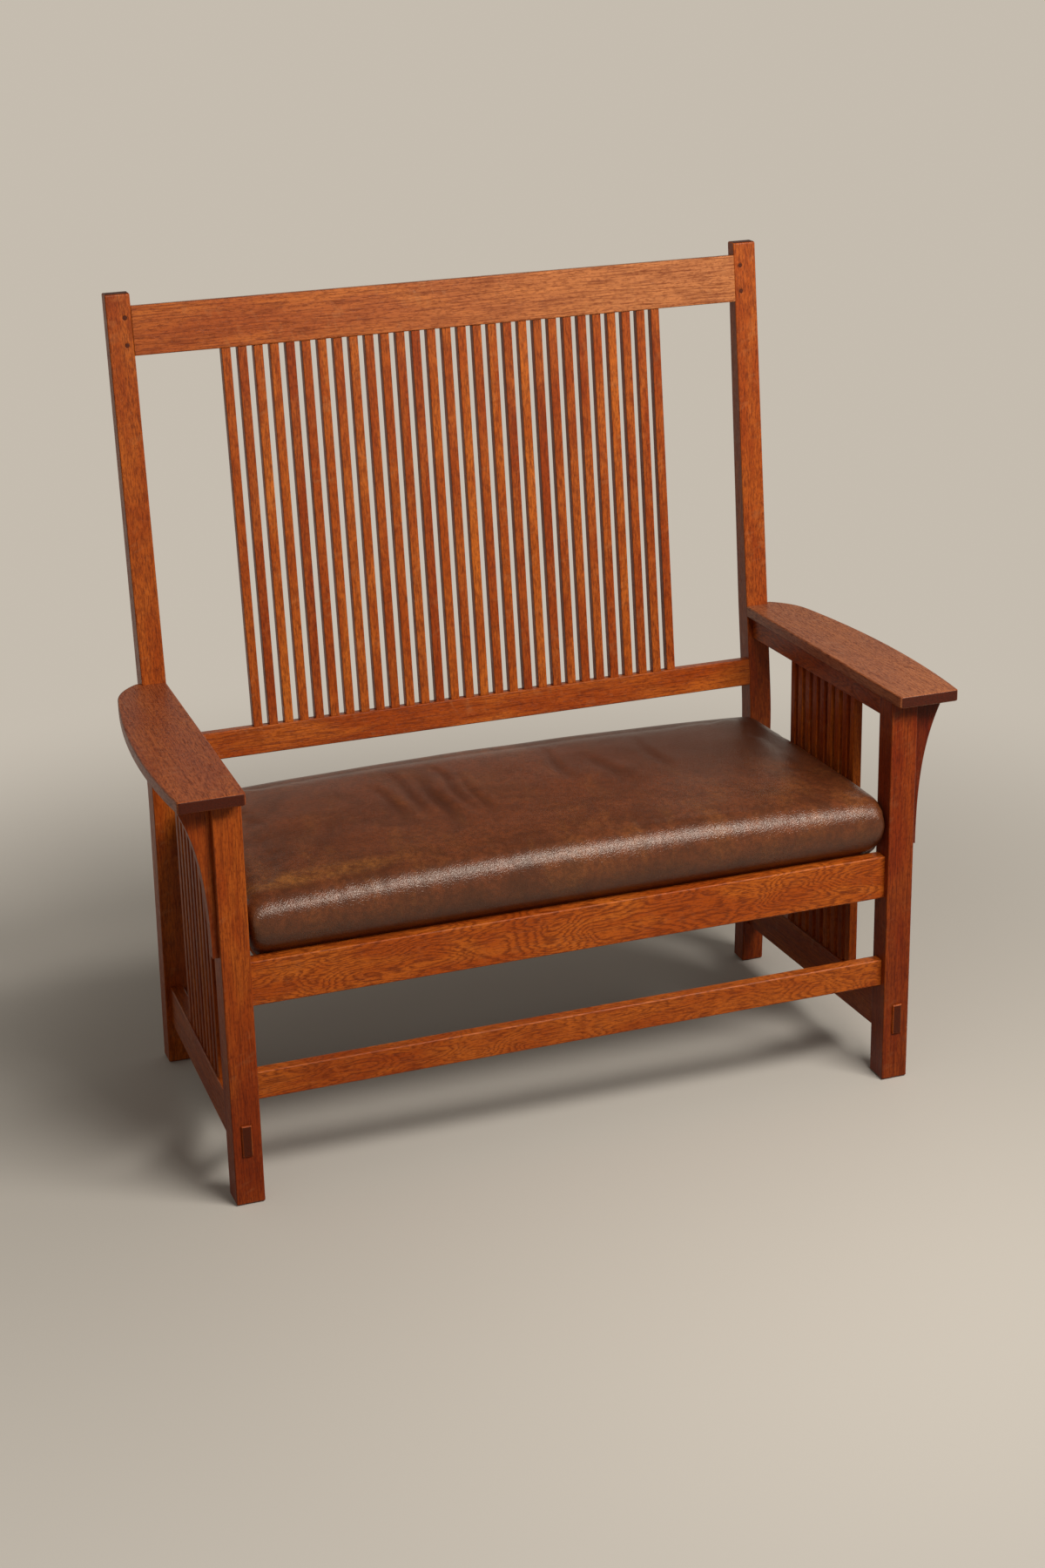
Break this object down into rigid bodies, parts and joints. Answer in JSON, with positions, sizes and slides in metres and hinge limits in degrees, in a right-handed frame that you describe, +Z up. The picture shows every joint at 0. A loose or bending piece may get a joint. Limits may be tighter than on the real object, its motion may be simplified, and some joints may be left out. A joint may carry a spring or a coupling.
{
  "type": "mission settle",
  "caption": "High-backed mission settle in quartersawn oak with spindled back and sides, flat arms on corbels and a loose leather seat cushion.",
  "frame": {"origin": "on the floor, under the middle of the settle's bounding box", "axes": "+Z up, +X to the right of someone who faces the front of the settle, +Y from the front to the back; the front faces -Y"},
  "size_m": [1.2238, 0.6117, 1.245],
  "materials": {
    "oak": "satin",
    "slat_oak": "matte",
    "peg_oak": "satin",
    "leather": "satin"
  },
  "bodies": {
    "frame": {"front_leg_left": "oak", "front_leg_right": "oak", "rear_post_left": "oak", "rear_post_right": "oak", "top_back_rail": "oak", "lower_back_rail": "oak", "back_spindle_01": "oak", "back_spindle_02": "oak", "back_spindle_03": "oak", "back_spindle_04": "oak", "back_spindle_05": "oak", "back_spindle_06": "oak", "back_spindle_07": "oak", "back_spindle_08": "oak", "back_spindle_09": "oak", "back_spindle_10": "oak", "back_spindle_11": "oak", "back_spindle_12": "oak", "back_spindle_13": "oak", "back_spindle_14": "oak", "back_spindle_15": "oak", "back_spindle_16": "oak", "back_spindle_17": "oak", "back_spindle_18": "oak", "back_spindle_19": "oak", "back_spindle_20": "oak", "back_spindle_21": "oak", "back_spindle_22": "oak", "back_spindle_23": "oak", "back_spindle_24": "oak", "back_spindle_25": "oak", "back_spindle_26": "oak", "back_spindle_27": "oak", "back_spindle_28": "oak", "back_spindle_29": "oak", "side_spindles_left": "oak", "side_spindles_right": "oak", "arm_rail_left": "oak", "arm_rail_right": "oak", "side_stretcher_left": "oak", "side_stretcher_right": "oak", "front_seat_rail": "oak", "rear_seat_rail": "oak", "front_stretcher": "oak", "arm_left": "oak", "arm_right": "oak", "corbel_left": "oak", "corbel_right": "oak", "front_cleat": "slat_oak", "rear_cleat": "slat_oak", "seat_slat_1": "slat_oak", "seat_slat_2": "slat_oak", "seat_slat_3": "slat_oak", "seat_slat_4": "slat_oak", "seat_slat_5": "slat_oak", "seat_slat_6": "slat_oak", "seat_slat_7": "slat_oak", "rail_pegs": "peg_oak"},
    "cushion": {"seat_cushion": "leather"}
  },
  "joints": [
    {"name": "cushion_lift", "type": "slide", "parent": "frame", "child": "cushion", "axis": [0, 0, 1], "range_m": [0, 0.25]}
  ]
}
